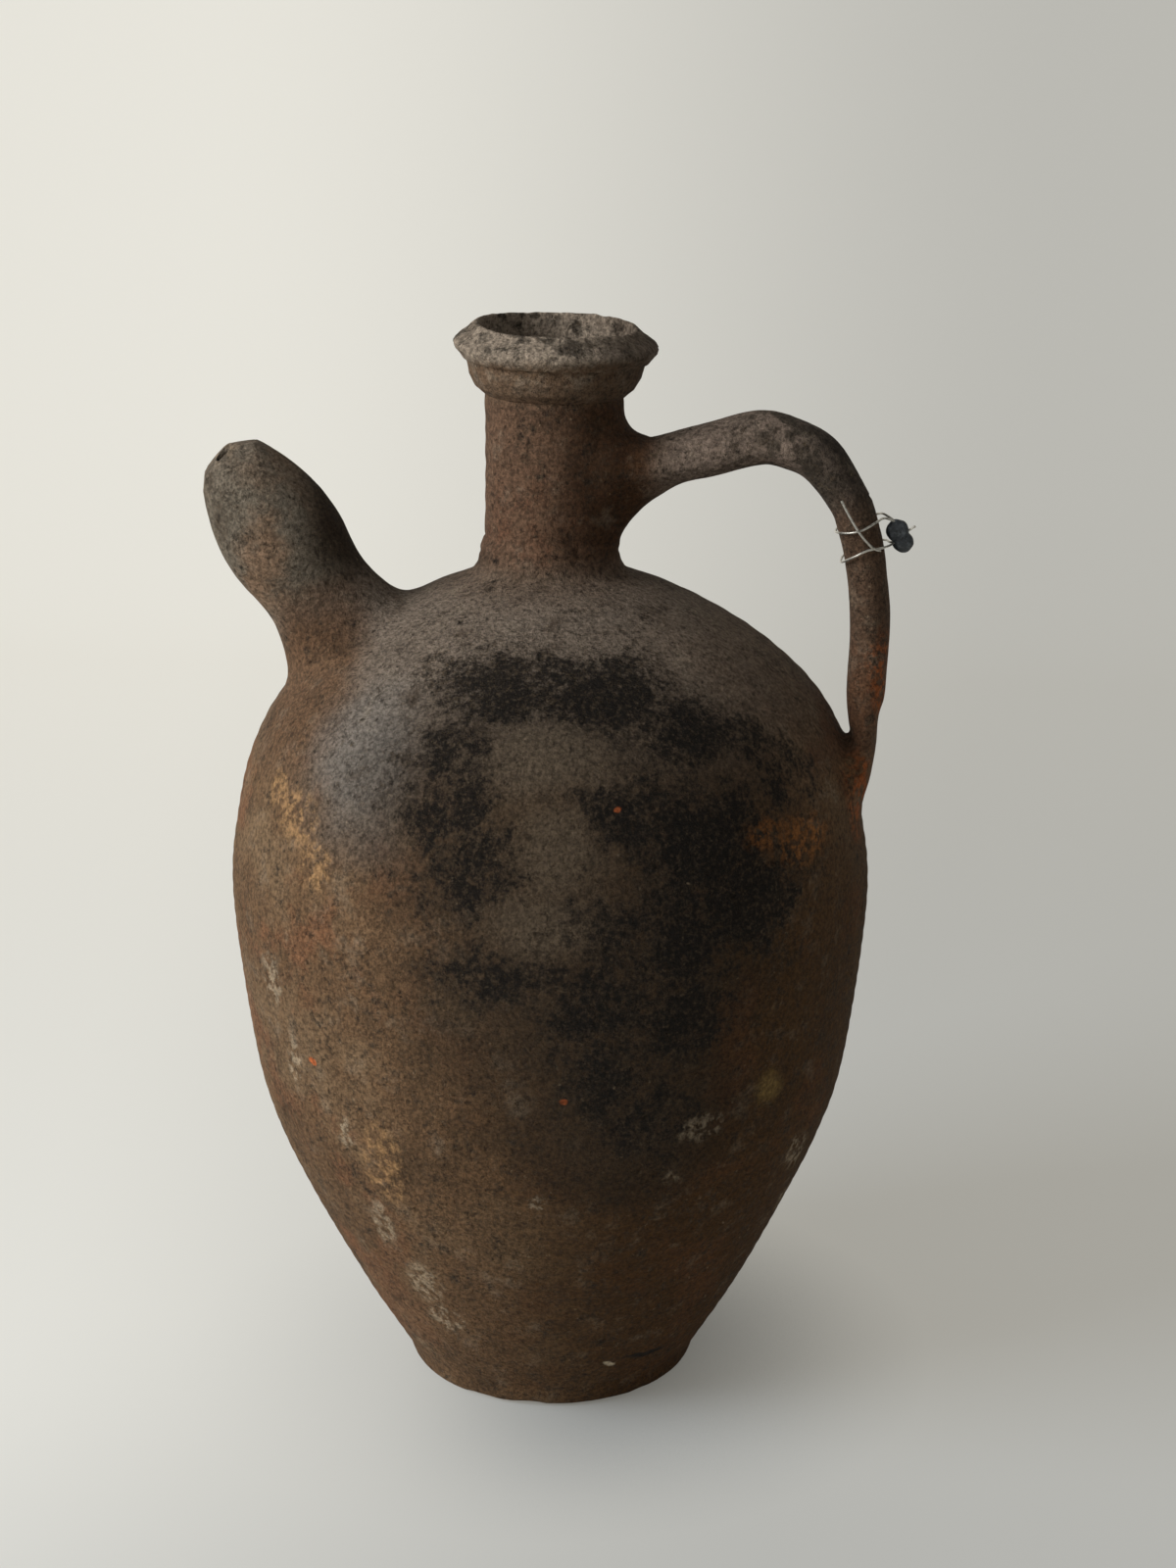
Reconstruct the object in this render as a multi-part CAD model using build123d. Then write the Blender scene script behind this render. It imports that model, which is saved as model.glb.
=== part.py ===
from build123d import *
import os

# A wheel-thrown water jug of coarse unglazed clay: an egg-shaped body on a narrow foot, a
# neck with a flanged collar, a bulbous pouring spout luted to the shoulder and a strap handle
# on the other side. A wire tie with a pressed lead seal is looped round the handle.
# Millimetres. The jug stands on Z = 0 with its axis on Z, and the handle points to +X.

# Foot: the thick slab that the jug was thrown on
FOOT_HEIGHT = 15.0
FOOT_TOP_RADIUS = 63.4
FOOT_SIDE_SWELL = 0.9
FOOT_BASE_RADIUS = 59.0
FOOT_EDGE_ROUND = 3.0
FLOOR_THICKNESS = 12.0

# Body wall: its outer circles, and how the line goes between them, as shares out and up
WALL = 7.5
BODY_BASE_RADIUS = 65.2
BELLY_RADIUS = 128.6
BELLY_HEIGHT = 203.0
SHOULDER_TOP_HEIGHT = 338.6
LOWER_LINE = ((0.22, 0.125), (0.475, 0.292), (0.724, 0.483), (0.880, 0.667))
SHOULDER_LINE = ((0.034, 0.270), (0.093, 0.458), (0.191, 0.605), (0.352, 0.733), (0.543, 0.837), (0.736, 0.918))
SHOULDER_LAP = 3.0
PASSAGE_RADIUS = 10.0

# Neck: it leans a little towards the handle
NECK_BORE_RADIUS = 20.5
NECK_RADIUS = 26.6
NECK_TOP_RADIUS = 27.7
NECK_FOOT_RADIUS = 28.3
NECK_FOOT_RING = 4.0
NECK_FOOT_FAIR = 4.0
NECK_HEIGHT = 63.6
NECK_LEAN = 1.9

# Collar: a bowl, a flange lapped over its edge and a mouth drawn inwards, set on slightly askew
COLLAR_HEIGHT = 28.0
BOWL_RADIUS = 34.9
BOWL_HEIGHT = 14.0
BOWL_FULLNESS = 0.34
FLANGE_LAP = 1.4
FLANGE_RADIUS = 39.9
FLANGE_HEIGHT = 20.0
FLANGE_ROUND = 1.2
MOUTH_RADIUS = 29.7
LIP_WIDTH = 1.3
COLLAR_WALL = 6.2
COLLAR_TILT = 2.5
COLLAR_TILT_BEARING = -80.0

# Spout: a hollow bulb with a pierced tip, leaning away from the neck
SPOUT_BEARING = 190.0
SPOUT_SEAT_INSET = 48.1
SPOUT_LEAN = 32.2
SPOUT_LENGTH = 81.0
SPOUT_ROOT_RADIUS = 33.5
SPOUT_ROOT_DEPTH = 10.0
SPOUT_WAIST_RADIUS = 21.7
SPOUT_WAIST_HEIGHT = 21.0
SPOUT_BULB_RADIUS = 24.0
SPOUT_BULB_HEIGHT = 44.0
SPOUT_BROW_RADIUS = 20.8
SPOUT_BROW_HEIGHT = 63.0
SPOUT_TIP_RADIUS = 11.7
SPOUT_CONE_HEIGHT = 3.0
SPOUT_HOLE_RADIUS = 4.1
SPOUT_WALL = 5.6

# Handle strap: how far its joint and crown are below the top of the neck, and the shares of the
# way that its middle line goes out and up to the crown, then out and down to the stem and the root
HANDLE_JOINT_DROP = 26.2
HANDLE_CROWN_DROP = 15.6
HANDLE_CROWN_REACH = 82.0
HANDLE_STEM_DROP = 29.0
HANDLE_STEM_STANDOFF = 1.0
HANDLE_SINK = 16.0
ARCH_LINE = ((0.26, 0.04), (0.62, 0.51))
BEND_LINE = ((0.538, 0.101), (0.756, 0.274), (0.854, 0.395), (0.942, 0.595), (0.990, 0.816))
ROOT_LINE = ((0.114, 0.280), (0.200, 0.402), (0.135, 0.565), (0.217, 0.660), (0.471, 0.810))
NECK_END_THICKNESS = 19.2
ARCH_THICKNESS = 21.2
ARCH_WIDTH = 27.0
ARCH_START = 24.0
ARCH_END = 66.0
STEM_THICKNESS = 16.1
STEM_WIDTH = 25.0
BEND_START = 74.0
BEND_END = 126.0
NECK_FLARE_HEIGHT = 25.0
NECK_FLARE_WIDTH = 12.0
NECK_FLARE_LENGTH = 18.0

# Lower end of the handle: pressed thinner and sunk in the wall, in a pad of smeared clay
ROOT_RISE = 33.0
ROOT_SINK = 6.0
ROOT_THICKNESS = 10.0
ROOT_WIDTH = 34.0
ROOT_TAPER_START = 55.0
ROOT_TAPER_END = 31.0
PAD_RISE = 45.0
PAD_PROUD = 4.6
PAD_ROUND = 46.0

# Wad of clay smeared up under the handle at the neck
WEB_WIDTH = 17.0
WEB_EDGE_ROUND = 5.0
WEB_BITE = 5.1
WEB_DROP = 33.0
WEB_THROAT_REACH = 5.2
WEB_THROAT_DROP = 19.4
WEB_REACH = 31.0
WEB_END_DROP = 6.6

# Wire tie: two loops round the stem of the handle, slack enough to slide, and a free tail
TIE_RISE = 10.9
WIRE_RADIUS = 0.45
WIRE_TUCK = 0.06
TIE_GAP_OUTSIDE = 0.5
TIE_GAP_INSIDE = 1.3
TIE_GAP_SIDE = 0.9
LOOP_SPACING = 10.2
LOOP_SLANT = 3.5
TAIL_RISE = 17.0
TAIL_SHIFT = 3.2
TAIL_GAP = 0.1

# Lead seal: two pressed lobes on the ends of the wire, free to swing beside the handle
SEAL_UPPER_RADIUS = 4.7
SEAL_LOWER_RADIUS = 4.2
SEAL_LOBE_SPACING = 4.9
SEAL_LOWER_SHIFT = 1.1
SEAL_DROP = 1.0
SEAL_GAP = 0.4
SEAL_THICKNESS = 5.4
SEAL_EDGE_ROUND = 1.6
SEAL_NOTCH_ROUND = 1.2
SEAL_DIE_RADIUS = 2.6
SEAL_DIE_DEPTH = 0.4
STUB_GAP = 0.35
STUB_BITE = 1.4
WIRE_END = 1.6

NECK_TOP = SHOULDER_TOP_HEIGHT + NECK_HEIGHT
SIDE = Plane.XZ
WORLD_Y = Vector(0, 1, 0)


def turned(*edges):
    """The solid that a closed outline makes on the wheel, from edges in radius and height."""
    return revolve(SIDE * make_face(list(edges)), Axis.Z)


def between(start, end, shares):
    """Points whose steps out and up are shares of the way from one point to another."""
    out, up = end[0] - start[0], end[1] - start[1]
    return [(start[0] + out * share_out, start[1] + up * share_up) for share_out, share_up in shares]


def inner_line(line, distance, steps=24):
    """A smooth line at a steady distance on the left of another."""
    points = []
    for step in range(steps + 1):
        place, way = line @ (step / steps), line % (step / steps)
        points.append(place + Vector(-way.Y, way.X) * distance)
    return Spline(*points)


def wall_line():
    """The outer line of the body, from its base up to a lap that the bore of the neck trims."""
    base = (BODY_BASE_RADIUS, FOOT_HEIGHT)
    belly = (BELLY_RADIUS, BELLY_HEIGHT)
    top = (NECK_BORE_RADIUS - SHOULDER_LAP, SHOULDER_TOP_HEIGHT)
    return Spline(base, *between(base, belly, LOWER_LINE), belly,
                  *between(belly, top, SHOULDER_LINE), top)


def share_where(test, low=0.0, high=1.0):
    """The share of a line where a test that holds at its start stops holding."""
    for _ in range(30):
        middle = (low + high) / 2
        if test(middle):
            low = middle
        else:
            high = middle
    return low


def wall_share(line, height):
    return share_where(lambda share: (line @ share).Y < height)


def wall_radius(line, height):
    """How far the body's outer line is from the axis at a height."""
    return (line @ wall_share(line, height)).X


def wall_height(line, radius):
    """How high the shoulder is at a distance from the axis."""
    share = share_where(lambda share: (line @ share).X > radius, wall_share(line, BELLY_HEIGHT))
    return (line @ share).Y


def make_body_form(line):
    """The body as if it were solid, from the top of the foot to under the neck."""
    base, top = line @ 0, line @ 1
    return turned(line, Line(top, (0, top.Y)), Line((0, top.Y), (0, base.Y)), Line((0, base.Y), base))


def make_cavity(line):
    """The space inside, down to the floor in the foot."""
    inside = inner_line(line, WALL)
    start, way, top = inside @ 0, inside % 0, inside @ 1
    floor = start - way * ((start.Y - FLOOR_THICKNESS) / way.Y)
    centre = (0, FLOOR_THICKNESS)
    return turned(Line(floor, start), inside, Line(top, (0, top.Y)), Line((0, top.Y), centre),
                  Line(centre, floor))


def make_foot(cavity):
    """The slab under the body, hollowed on top where it is the floor inside."""
    base, top = (FOOT_BASE_RADIUS, 0), (FOOT_TOP_RADIUS, FOOT_HEIGHT)
    swell = ((base[0] + top[0]) / 2 + FOOT_SIDE_SWELL, FOOT_HEIGHT / 2)
    slab = turned(Line((0, 0), base), ThreePointArc(base, swell, top), Line(top, (0, FOOT_HEIGHT)),
                  Line((0, FOOT_HEIGHT), (0, 0)))
    return fillet(slab.edges().group_by(Axis.Z)[0], FOOT_EDGE_ROUND) - cavity


def spout_place(line):
    """Where the spout's axis meets the shoulder, with Z up the spout."""
    seat = BELLY_RADIUS - SPOUT_SEAT_INSET
    return Rot(0, 0, SPOUT_BEARING) * Pos(seat, 0, wall_height(line, seat)) * Rot(0, SPOUT_LEAN, 0)


def make_spout(line, body_form):
    """The hollow bulb: spread at its root, waisted, swelling, and closed by a pierced cone."""
    waist = (SPOUT_WAIST_RADIUS, SPOUT_WAIST_HEIGHT)
    tip = (SPOUT_TIP_RADIUS, SPOUT_LENGTH)
    root = Spline((SPOUT_ROOT_RADIUS, -SPOUT_ROOT_DEPTH), waist, tangents=((-0.8, 1), (0, 1)))
    bulb = Spline(waist, (SPOUT_BULB_RADIUS, SPOUT_BULB_HEIGHT), (SPOUT_BROW_RADIUS, SPOUT_BROW_HEIGHT),
                  tip, tangents=((0, 1), (-0.85, 1)))
    inside = inner_line(bulb, SPOUT_WALL)
    low = -2 * SPOUT_ROOT_DEPTH
    hole_top = (SPOUT_HOLE_RADIUS, SPOUT_LENGTH + SPOUT_CONE_HEIGHT)
    hole_low = (SPOUT_HOLE_RADIUS, (inside @ 1).Y)
    bore_low, root_low = ((inside @ 0).X, low), (SPOUT_ROOT_RADIUS, low)
    skin = turned(root, bulb, Line(tip, hole_top), Line(hole_top, hole_low), Line(hole_low, inside @ 1),
                  inside, Line(inside @ 0, bore_low), Line(bore_low, root_low), Line(root_low, root @ 0))
    return spout_place(line) * skin - body_form


def neck_place():
    """The lean of the neck, about the top of the shoulder."""
    pivot = Pos(0, 0, SHOULDER_TOP_HEIGHT)
    return pivot * Rot(0, NECK_LEAN, 0) * pivot.inverse()


def collar_place():
    """The middle of the neck's top face, with Z up the collar, which sits slightly askew."""
    bearing = Rot(0, 0, COLLAR_TILT_BEARING)
    return neck_place() * Pos(0, 0, NECK_TOP) * bearing * Rot(0, COLLAR_TILT, 0) * bearing.inverse()


def make_neck_form():
    """The neck as if it were solid: a ring of clay at its foot and a slightly wider top."""
    low, high = SHOULDER_TOP_HEIGHT - 2 * WALL, NECK_TOP
    ring_top = SHOULDER_TOP_HEIGHT + NECK_FOOT_RING
    side_start = (NECK_RADIUS, ring_top + NECK_FOOT_FAIR)
    ring = Line((NECK_FOOT_RADIUS, low), (NECK_FOOT_RADIUS, ring_top))
    fair = Spline(ring @ 1, side_start, tangents=((-0.2, 1), (0, 1)))
    side = Spline(side_start, (NECK_TOP_RADIUS, high), tangents=((0, 1), (0.06, 1)))
    end = (NECK_TOP_RADIUS, high + WALL)
    form = turned(ring, fair, side, Line(side @ 1, end), Line(end, (0, end[1])),
                  Line((0, end[1]), (0, low)), Line((0, low), ring @ 0))
    return split(neck_place() * form, Plane(collar_place()), keep=Keep.BOTTOM)


def make_bore():
    """The straight hole down the neck and through the top of the shoulder."""
    low, high = SHOULDER_TOP_HEIGHT - 3 * WALL, NECK_TOP + WALL
    return neck_place() * Pos(0, 0, (low + high) / 2) * Cylinder(NECK_BORE_RADIUS, high - low)


def make_collar():
    """The bowl, the lap of the flange over it, the flange's ridge and the drawn-in mouth."""
    step = BOWL_RADIUS - NECK_TOP_RADIUS
    bowl = ThreePointArc((NECK_TOP_RADIUS, 0),
                         (NECK_TOP_RADIUS + step * (1 - BOWL_FULLNESS), BOWL_HEIGHT * BOWL_FULLNESS),
                         (BOWL_RADIUS, BOWL_HEIGHT))
    lap = (BOWL_RADIUS + FLANGE_LAP, BOWL_HEIGHT)
    ridge = (FLANGE_RADIUS, FLANGE_HEIGHT)
    lip = (MOUTH_RADIUS + LIP_WIDTH, COLLAR_HEIGHT)
    inside = Spline((MOUTH_RADIUS, COLLAR_HEIGHT), (BOWL_RADIUS - COLLAR_WALL, BOWL_HEIGHT),
                    (NECK_BORE_RADIUS, 0), tangents=((0, -1), (-0.6, -1)))
    collar = turned(bowl, Line(bowl @ 1, lap), Line(lap, ridge), Line(ridge, lip),
                    Line(lip, inside @ 0), inside, Line(inside @ 1, bowl @ 0))
    widest = collar.edges().filter_by(GeomType.CIRCLE).sort_by(SortBy.RADIUS)[-1]
    return collar_place() * fillet(widest, FLANGE_ROUND)


def handle_line(line):
    """The middle line of the strap, from inside the neck to inside the wall."""
    root_height = BELLY_HEIGHT + ROOT_RISE
    wall = wall_radius(line, root_height)
    joint = (NECK_RADIUS, NECK_TOP - HANDLE_JOINT_DROP)
    crown = (HANDLE_CROWN_REACH, NECK_TOP - HANDLE_CROWN_DROP)
    stem = (wall + HANDLE_STEM_STANDOFF, SHOULDER_TOP_HEIGHT - HANDLE_STEM_DROP)
    root = (wall - ROOT_SINK, root_height)
    points = [(joint[0] - HANDLE_SINK, joint[1]), joint, *between(joint, crown, ARCH_LINE), crown,
              *between(crown, stem, BEND_LINE), stem, *between(stem, root, ROOT_LINE), root]
    return Spline(*[(reach, 0, height) for reach, height in points])


def eased(distance, start, end):
    """0 before a start, 1 after an end, and a smooth step between them."""
    place = min(1, max(0, (distance - start) / (end - start)))
    return place * place * (3 - 2 * place)


def strap_size(line, share):
    """Thickness and width of the strap at a share of the way along it."""
    along, left = line.length * share, line.length * (1 - share)
    arch, bend = eased(along, ARCH_START, ARCH_END), eased(along, BEND_START, BEND_END)
    flare = min(1, max(0, 1 - (along - HANDLE_SINK) / NECK_FLARE_LENGTH)) ** 3
    root = eased(-left, -ROOT_TAPER_START, -ROOT_TAPER_END)
    thickness = NECK_END_THICKNESS + (ARCH_THICKNESS - NECK_END_THICKNESS) * arch
    thickness += (STEM_THICKNESS - ARCH_THICKNESS) * bend + NECK_FLARE_HEIGHT * flare
    width = ARCH_WIDTH + (STEM_WIDTH - ARCH_WIDTH) * bend + NECK_FLARE_WIDTH * flare
    return (thickness + (ROOT_THICKNESS - STEM_THICKNESS) * root, width + (ROOT_WIDTH - STEM_WIDTH) * root)


def strap_plane(line, share):
    """Across the strap: its width along Y, and its thickness outwards."""
    return Plane(line @ share, x_dir=WORLD_Y, z_dir=line % share)


def make_handle(line, neck_form, body_form, stations=26):
    """The strap: oval sections along its line, closer together where it flares at the neck."""
    sections = []
    for station in range(stations + 1):
        share = (station / stations) ** 1.3
        thickness, width = strap_size(line, share)
        sections.append(strap_plane(line, share) * Ellipse(width / 2, thickness / 2))
    return loft(sections) - neck_form - body_form


def make_handle_pad(line, handle, body_form):
    """The clay that was smeared over the wall round the lower end of the strap."""
    share = wall_share(line, BELLY_HEIGHT + PAD_RISE)
    place, way = line @ share, line % share
    middle = Vector(place.X, 0, place.Y) - Vector(way.Y, 0, -way.X) * (PAD_ROUND - PAD_PROUD)
    return Pos(middle) * Sphere(PAD_ROUND) - body_form - handle


def make_handle_web(handle, neck_form):
    """The wad of clay that was smeared up under the handle against the neck."""
    joint = NECK_TOP - HANDLE_JOINT_DROP
    inside = NECK_RADIUS - WEB_BITE
    low, end = (inside, joint - WEB_DROP), (NECK_RADIUS + WEB_REACH, joint - WEB_END_DROP)
    throat = (NECK_RADIUS + WEB_THROAT_REACH, joint - WEB_THROAT_DROP)
    curve = Spline((NECK_RADIUS, low[1]), throat, end, tangents=((0, 1), (1, 0.4)))
    outline = make_face([Line(low, curve @ 0), curve, Line(end, (end[0], joint)),
                         Line((end[0], joint), (inside, joint)), Line((inside, joint), low)])
    wad = extrude(SIDE * outline, WEB_WIDTH / 2, both=True)
    wad = fillet(wad.edges().filter_by(GeomType.BSPLINE), WEB_EDGE_ROUND)
    return wad - handle - neck_form


def tie_frame(middle):
    """On the middle line at the tie: X along +Y, Y towards the jug and Z up the strap."""
    height = SHOULDER_TOP_HEIGHT + TIE_RISE
    share = 1 - share_where(lambda left: (middle @ (1 - left)).Z < height, 0.0, 0.5)
    return Plane(middle @ share, x_dir=WORLD_Y, z_dir=-(middle % share)), strap_size(middle, share)


def rod(start, end, radius=WIRE_RADIUS):
    """A straight piece of wire with a rounded start."""
    way = Vector(*end) - Vector(*start)
    along = Plane(start, z_dir=way)
    shaft = Cylinder(radius, way.length, align=(Align.CENTER, Align.CENTER, Align.MIN))
    return along * (shaft + Sphere(radius))


def wire_along(path, radius=WIRE_RADIUS):
    """Round wire along a path."""
    return sweep(Plane(path @ 0, z_dir=path % 0) * Circle(radius), path=path)


def loop_sizes(thickness, width):
    """Half width, half depth and inward shift of the middle line of a loop."""
    half_width = width / 2 + TIE_GAP_SIDE + WIRE_RADIUS
    half_depth = (thickness + TIE_GAP_OUTSIDE + TIE_GAP_INSIDE) / 2 + WIRE_RADIUS
    return half_width, half_depth, (TIE_GAP_INSIDE - TIE_GAP_OUTSIDE) / 2


def make_tie_wire(frame, thickness, width):
    """Two loops, and the run behind the handle and the tail in front of it that start inside them."""
    half_width, half_depth, shift = loop_sizes(thickness, width)
    loops = []
    for side in (-1, 1):
        oval = SlotOverall(2 * half_width, 2 * half_depth).face().outer_wire()
        loops.append(wire_along(Pos(0, shift, side * LOOP_SPACING / 2) * Rot(-LOOP_SLANT, 0, 0) * oval))
    low, high, over = -LOOP_SPACING / 2, LOOP_SPACING / 2, 2 * WIRE_RADIUS + TAIL_GAP
    run = ThreePointArc((half_width, shift, low), (half_width + WIRE_RADIUS, shift, 0), (half_width, shift, high))
    tail = ThreePointArc((-half_width, shift - TAIL_SHIFT / 4, low), (-half_width - over, shift, high),
                         (-half_width - over, shift + TAIL_SHIFT, TAIL_RISE))
    ends = [wire_along(path, WIRE_RADIUS - WIRE_TUCK) for path in (run, tail)]
    return frame * (loops[0] + loops[1] + ends[0] + ends[1])


def seal_places(thickness):
    """Distances outwards from the middle of the strap: swing axis, seal's middle, and its heights."""
    wire_face = thickness / 2 + TIE_GAP_OUTSIDE + 2 * WIRE_RADIUS
    swing = wire_face + STUB_GAP + WIRE_RADIUS
    middle = wire_face + SEAL_GAP + SEAL_UPPER_RADIUS
    return swing, middle, -SEAL_DROP, -SEAL_DROP - SEAL_LOBE_SPACING


def make_seal_wires(frame, thickness):
    """The two wires from the loops into the seal, and the cut end that comes out again."""
    swing, middle, upper, lower = seal_places(thickness)
    bite = (SEAL_UPPER_RADIUS - STUB_BITE) * 0.7071
    top = rod((0, -swing, LOOP_SPACING / 2), (0, -middle + bite, upper + bite))
    lower_face = middle + SEAL_LOWER_SHIFT - SEAL_LOWER_RADIUS
    low = rod((0, -swing, -LOOP_SPACING / 2), (0, -lower_face - STUB_BITE, -LOOP_SPACING / 2))
    edge = middle + SEAL_UPPER_RADIUS
    end = rod((0, -edge - WIRE_END, upper), (0, -edge + STUB_BITE, upper))
    return [frame * wire for wire in (top, low, end)]


def make_lead_seal(frame, thickness, wires):
    """Two joined lobes of lead with pressed edges and a plain round die mark on each face."""
    _, middle, upper, lower = seal_places(thickness)
    across = Plane((0, 0, 0), x_dir=(0, -1, 0), z_dir=(-1, 0, 0))
    upper_lobe = Pos(middle, upper) * Rot(0, 0, -90) * Circle(SEAL_UPPER_RADIUS)
    lower_lobe = Pos(middle + SEAL_LOWER_SHIFT, lower) * Rot(0, 0, 90) * Circle(SEAL_LOWER_RADIUS)
    outline = fillet((upper_lobe + lower_lobe).vertices(), SEAL_NOTCH_ROUND)
    slug = extrude(across * outline, SEAL_THICKNESS / 2, both=True)
    slug = fillet(slug.faces().filter_by(Axis.X).edges(), SEAL_EDGE_ROUND)
    for side in (-1, 1):
        face = Pos(side * SEAL_THICKNESS / 2, -middle, upper) * Rot(0, 90, 0)
        slug -= face * Cylinder(SEAL_DIE_RADIUS, 2 * SEAL_DIE_DEPTH)
    return frame * slug - wires[0] - wires[1] - wires[2]


def make_nodes():
    """Every piece by its name."""
    line = wall_line()
    body_form, cavity, bore = make_body_form(line), make_cavity(line), make_bore()
    neck_form = make_neck_form()
    body = body_form - cavity
    belly = Plane.XY.offset(BELLY_HEIGHT)
    passage = spout_place(line) * Cylinder(PASSAGE_RADIUS, 8 * WALL)
    middle = handle_line(line)
    handle = make_handle(middle, neck_form, body_form)
    frame, (thickness, width) = tie_frame(middle)
    seal_wires = make_seal_wires(frame, thickness)
    return {
        "foot": make_foot(cavity),
        "lower_body": split(body, belly, keep=Keep.BOTTOM),
        "upper_body": split(body, belly, keep=Keep.TOP) - bore - passage,
        "neck": neck_form - bore - body_form,
        "collar": make_collar(),
        "spout": make_spout(line, body_form),
        "handle": handle,
        "handle_pad": make_handle_pad(line, handle, body_form),
        "handle_web": make_handle_web(handle, neck_form),
        "tie_wire": make_tie_wire(frame, thickness, width),
        "lead_seal": make_lead_seal(frame, thickness, seal_wires),
        "seal_wire_upper": seal_wires[0],
        "seal_wire_lower": seal_wires[1],
        "seal_wire_end": seal_wires[2],
    }


def main():
    os.makedirs("parts", exist_ok=True)
    for name, solid in make_nodes().items():
        solid.label = name
        export_step(solid, f"parts/{name}.step")
        print(name, round(solid.volume, 1), "mm3")


main()
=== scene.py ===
import math

import bpy
import numpy as np
from mathutils import Matrix, Vector
from mathutils.bvhtree import BVHTree


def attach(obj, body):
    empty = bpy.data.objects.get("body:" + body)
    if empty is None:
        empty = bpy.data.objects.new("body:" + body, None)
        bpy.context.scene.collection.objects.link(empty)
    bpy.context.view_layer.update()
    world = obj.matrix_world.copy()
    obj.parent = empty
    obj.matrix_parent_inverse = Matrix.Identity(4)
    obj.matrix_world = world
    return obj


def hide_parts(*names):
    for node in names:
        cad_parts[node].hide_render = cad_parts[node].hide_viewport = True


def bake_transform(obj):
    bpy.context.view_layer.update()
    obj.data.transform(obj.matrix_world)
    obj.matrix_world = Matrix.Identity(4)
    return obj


# A spouted water jug of coarse, smoke-darkened earthenware. Its clay is one skin: the thrown and
# luted forms are united, their joins are smeared smooth, the hollow is cut out, and the skin is
# then divided into the same pieces as the jug. The wire tie and the lead seal are made by
# themselves. Lengths are in millimetres here, and become metres where a mesh is made.

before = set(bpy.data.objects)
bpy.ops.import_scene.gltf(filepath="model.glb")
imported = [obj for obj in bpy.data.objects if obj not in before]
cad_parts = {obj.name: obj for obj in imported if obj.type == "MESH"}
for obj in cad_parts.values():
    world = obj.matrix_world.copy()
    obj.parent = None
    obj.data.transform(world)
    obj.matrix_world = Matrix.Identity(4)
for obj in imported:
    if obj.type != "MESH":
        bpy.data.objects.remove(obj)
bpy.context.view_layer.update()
MM = 0.001
VOXEL = 1.35

# Body, foot and neck, as radius and height
BODY_LINE = ((65.2, 15), (79.1, 38.5), (95.3, 69.9), (111.1, 105.8), (121.0, 140.4), (128.5, 203.0),
             (124.8, 239.6), (118.3, 265.1), (107.4, 285.0), (89.5, 302.4), (68.3, 316.5), (46.8, 327.5),
             (17.5, 338.6))
FOOT_LINE = ((0, 0), (54.5, 0), (58.6, 1.3), (60.6, 6.0), (62.4, 12.5), (63.0, 15.4), (60.5, 20), (0, 20))
NECK_LINE = ((0, 322), (28.4, 322), (28.4, 336), (28.1, 341.0), (26.8, 345.5), (26.4, 352), (26.5, 365),
             (27.0, 385), (27.6, 402.2), (26.9, 406), (0, 406))
COLLAR_LINE = ((20.5, 0), (27.7, 0), (31.3, 3.0), (33.6, 7.6), (34.7, 12.6), (34.9, 14.0), (36.2, 14.0),
               (38.2, 16.6), (39.6, 18.4), (39.9, 20.2), (38.9, 21.8), (34.8, 24.6), (31.6, 27.4),
               (30.4, 27.9), (29.6, 27.0), (29.3, 22.0), (28.7, 14.0), (26.0, 7.0), (20.5, 0))
SHOULDER_TOP = 338.6
NECK_TOP = 402.2
NECK_LEAN = 1.9
NECK_BORE = 20.5
WALL = 7.5
BELLY = 203.0
# The disc of the body inside the foot, the floor of the hollow, and the two ends of the neck's bore
BODY_BASE = (62, 10)
CAVITY_FLOOR = (56, 12)
BORE_ENDS = (316, 412)
# The collar is set on askew: how far it tips, and towards which bearing
COLLAR_TIP = 2.5
COLLAR_BEARING = -80.0
# Between two ridges left by the potter's fingers on the body and on the neck, and the neck's two grooves
BODY_RIDGES = 6.4
NECK_RIDGES = 9
NECK_GROOVES = (347.5, 341.5)

# Spout: its bearing, its seat on the shoulder, its lean, and its line from root to tip
SPOUT_BEARING = 190.0
SPOUT_SEAT = (80.5, 308.6)
SPOUT_LEAN = 32.2
SPOUT_LINE = ((0, -20), (34.0, -20), (31.0, -8), (26.3, 4), (23.4, 12), (21.8, 21), (22.3, 29), (23.5, 37),
              (23.9, 44), (23.3, 53), (21.4, 62), (18.8, 70), (16.0, 76.5), (13.2, 82.0), (9.5, 86.4),
              (0, 87))
SPOUT_HOLLOW = ((0, -14), (16.2, -14), (16.2, 21), (17.9, 37), (18.3, 44), (16.5, 56), (11.5, 70), (0, 76))
SPOUT_HOLE = 4.1
PASSAGE = 10.0

# Handle: the middle line of the strap as reach and height, with its thickness and width there
STRAP = ((10.6, 376, 44, 39), (20.0, 376, 44, 39), (26.6, 376, 43, 38), (30.5, 376, 31, 32),
         (35.0, 376.2, 23, 29), (41.0, 376.4, 19.6, 27.4), (60.9, 381.4, 20.6, 27), (82.0, 386.6, 21.1, 26.8),
         (95.0, 384.4, 20.0, 26.4), (105.6, 378.8, 18.9, 26), (115.2, 365.5, 16.8, 25.4),
         (119.5, 356.2, 16.1, 25), (123.4, 340.8, 16.1, 25), (125.5, 323.8, 16.1, 25),
         (125.9, 309.6, 16.1, 25), (125.1, 289.0, 15.9, 25.2), (124.5, 280.0, 13.4, 27.5),
         (124.9, 268.0, 10.4, 31), (124.4, 261.0, 10.0, 33.5), (122.6, 250.0, 10.0, 34),
         (118.9, 236.0, 8.0, 34))
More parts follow.
